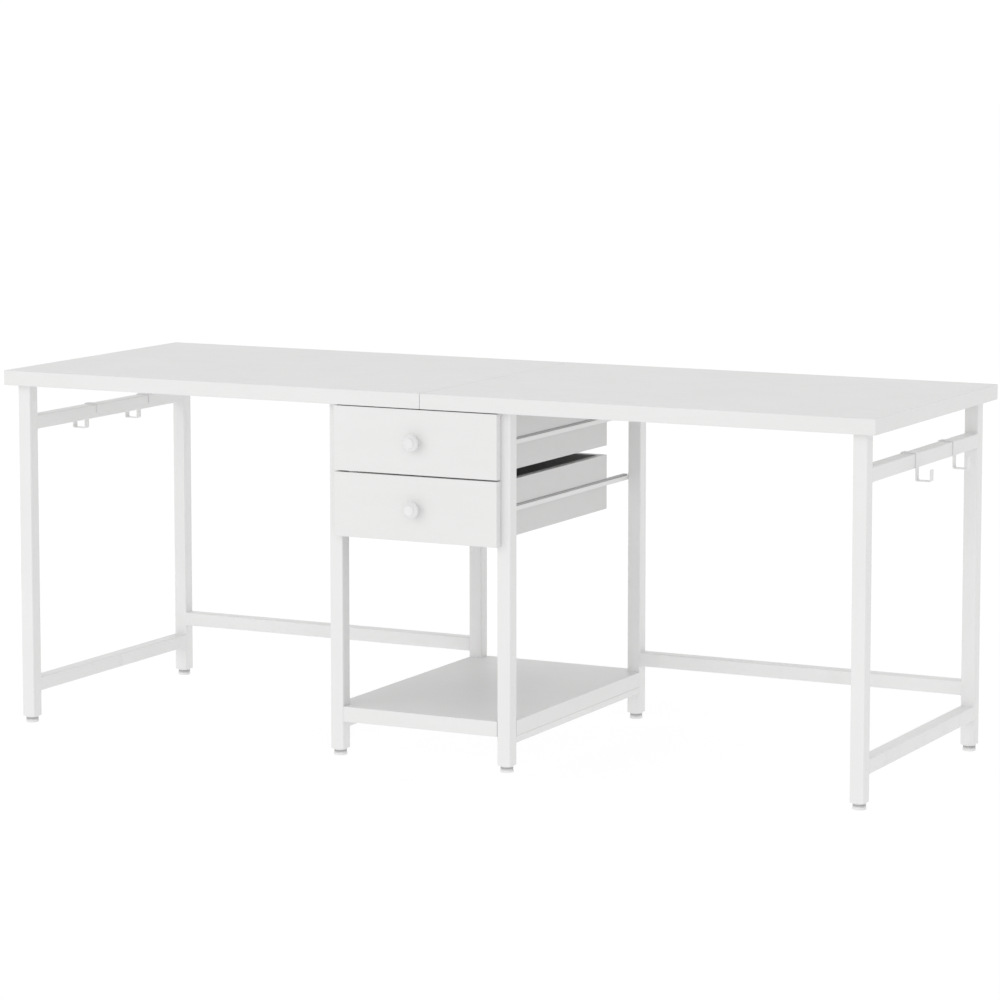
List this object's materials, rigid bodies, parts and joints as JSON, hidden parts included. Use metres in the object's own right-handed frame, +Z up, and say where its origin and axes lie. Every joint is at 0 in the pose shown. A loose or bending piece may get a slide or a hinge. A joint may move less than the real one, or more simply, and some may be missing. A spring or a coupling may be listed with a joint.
{
  "type": "sewing table",
  "caption": "Long sewing table with a split worktop, square-tube legs, a centre drawer unit over a shelf, and bag hooks on the end rails.",
  "frame": {"origin": "on the floor, at the middle of the footprint measured over the knobs and hooks", "axes": "+X along the table, to the right of someone sitting in front of it; -Y the front, with the knobs; +Z up"},
  "size_m": [2.02, 0.727, 0.77],
  "materials": {
    "worktop_laminate": "satin white laminate on particle board",
    "drawer_front_laminate": "satin white laminate on particle board",
    "drawer_board": "white faced particle board",
    "hardboard": "dark faced hardboard",
    "beech": "plain turned beech",
    "coated_steel": "white powder coat, fine texture",
    "zinc_steel": "zinc plated",
    "runner_nylon": "light grey nylon",
    "insert_plastic": "matt white moulded plastic",
    "foot_plastic": "matt moulded plastic with a grey ring, on a zinc plated stem",
    "knob_plastic": "smooth white plastic"
  },
  "bodies": {
    "frame": {"tabletop_left": "worktop_laminate", "tabletop_right": "worktop_laminate", "seam_plates": "coated_steel", "leg_tabs": "coated_steel", "tabletop_screws": "zinc_steel", "leg_end_left_front": "coated_steel", "leg_end_left_rear": "coated_steel", "leg_centre_left_front": "coated_steel", "leg_centre_left_rear": "coated_steel", "leg_centre_right_front": "coated_steel", "leg_centre_right_rear": "coated_steel", "leg_end_right_front": "coated_steel", "leg_end_right_rear": "coated_steel", "side_rail_upper_left": "coated_steel", "side_rail_upper_right": "coated_steel", "side_rail_lower_left": "coated_steel", "side_rail_lower_right": "coated_steel", "rear_stretcher_left": "coated_steel", "rear_stretcher_right": "coated_steel", "shelf": "worktop_laminate", "shelf_bearer_left": "coated_steel", "shelf_bearer_right": "coated_steel", "shelf_screws": "zinc_steel", "drawer_rail_upper_left": "coated_steel", "drawer_rail_upper_right": "coated_steel", "drawer_rail_lower_left": "coated_steel", "drawer_rail_lower_right": "coated_steel", "rail_screws": "zinc_steel", "drawer_runners": "runner_nylon", "foot_inserts": "insert_plastic"},
    "drawer_lower": {"drawer_front_lower": "drawer_front_laminate", "drawer_side_lower_left": "drawer_board", "drawer_side_lower_right": "drawer_board", "drawer_back_lower": "drawer_board", "drawer_bottom_lower": "hardboard", "drawer_dowels_lower": "beech", "drawer_back_screws_lower": "zinc_steel", "knob_lower": "knob_plastic", "knob_screw_lower": "zinc_steel"},
    "drawer_upper": {"drawer_front_upper": "drawer_front_laminate", "drawer_side_upper_left": "drawer_board", "drawer_side_upper_right": "drawer_board", "drawer_back_upper": "drawer_board", "drawer_bottom_upper": "hardboard", "drawer_dowels_upper": "beech", "drawer_back_screws_upper": "zinc_steel", "knob_upper": "knob_plastic", "knob_screw_upper": "zinc_steel"},
    "foot_end_left_front": {"foot_end_left_front": "foot_plastic"},
    "foot_end_left_rear": {"foot_end_left_rear": "foot_plastic"},
    "foot_centre_left_front": {"foot_centre_left_front": "foot_plastic"},
    "foot_centre_left_rear": {"foot_centre_left_rear": "foot_plastic"},
    "foot_centre_right_front": {"foot_centre_right_front": "foot_plastic"},
    "foot_centre_right_rear": {"foot_centre_right_rear": "foot_plastic"},
    "foot_end_right_front": {"foot_end_right_front": "foot_plastic"},
    "foot_end_right_rear": {"foot_end_right_rear": "foot_plastic"},
    "hook_left_front": {"hook_left_front": "coated_steel"},
    "hook_left_rear": {"hook_left_rear": "coated_steel"},
    "hook_right_front": {"hook_right_front": "coated_steel"},
    "hook_right_rear": {"hook_right_rear": "coated_steel"}
  },
  "joints": [
    {"name": "drawer_lower_slide", "type": "slide", "parent": "frame", "child": "drawer_lower", "axis": [0, -1, 0], "range_m": [0, 0.35]},
    {"name": "drawer_upper_slide", "type": "slide", "parent": "frame", "child": "drawer_upper", "axis": [0, -1, 0], "range_m": [0, 0.35]},
    {"name": "foot_end_left_front_screw", "type": "slide", "parent": "frame", "child": "foot_end_left_front", "axis": [0, 0, -1], "range_m": [0, 0.012]},
    {"name": "foot_end_left_rear_screw", "type": "slide", "parent": "frame", "child": "foot_end_left_rear", "axis": [0, 0, -1], "range_m": [0, 0.012]},
    {"name": "foot_centre_left_front_screw", "type": "slide", "parent": "frame", "child": "foot_centre_left_front", "axis": [0, 0, -1], "range_m": [0, 0.012]},
    {"name": "foot_centre_left_rear_screw", "type": "slide", "parent": "frame", "child": "foot_centre_left_rear", "axis": [0, 0, -1], "range_m": [0, 0.012]},
    {"name": "foot_centre_right_front_screw", "type": "slide", "parent": "frame", "child": "foot_centre_right_front", "axis": [0, 0, -1], "range_m": [0, 0.012]},
    {"name": "foot_centre_right_rear_screw", "type": "slide", "parent": "frame", "child": "foot_centre_right_rear", "axis": [0, 0, -1], "range_m": [0, 0.012]},
    {"name": "foot_end_right_front_screw", "type": "slide", "parent": "frame", "child": "foot_end_right_front", "axis": [0, 0, -1], "range_m": [0, 0.012]},
    {"name": "foot_end_right_rear_screw", "type": "slide", "parent": "frame", "child": "foot_end_right_rear", "axis": [0, 0, -1], "range_m": [0, 0.012]},
    {"name": "hook_left_front_slide", "type": "slide", "parent": "frame", "child": "hook_left_front", "axis": [0, 1, 0], "range_m": [-0.22, 0.09]},
    {"name": "hook_left_rear_slide", "type": "slide", "parent": "frame", "child": "hook_left_rear", "axis": [0, 1, 0], "range_m": [-0.09, 0.13]},
    {"name": "hook_right_front_slide", "type": "slide", "parent": "frame", "child": "hook_right_front", "axis": [0, 1, 0], "range_m": [-0.22, 0.09]},
    {"name": "hook_right_rear_slide", "type": "slide", "parent": "frame", "child": "hook_right_rear", "axis": [0, 1, 0], "range_m": [-0.09, 0.13]}
  ]
}
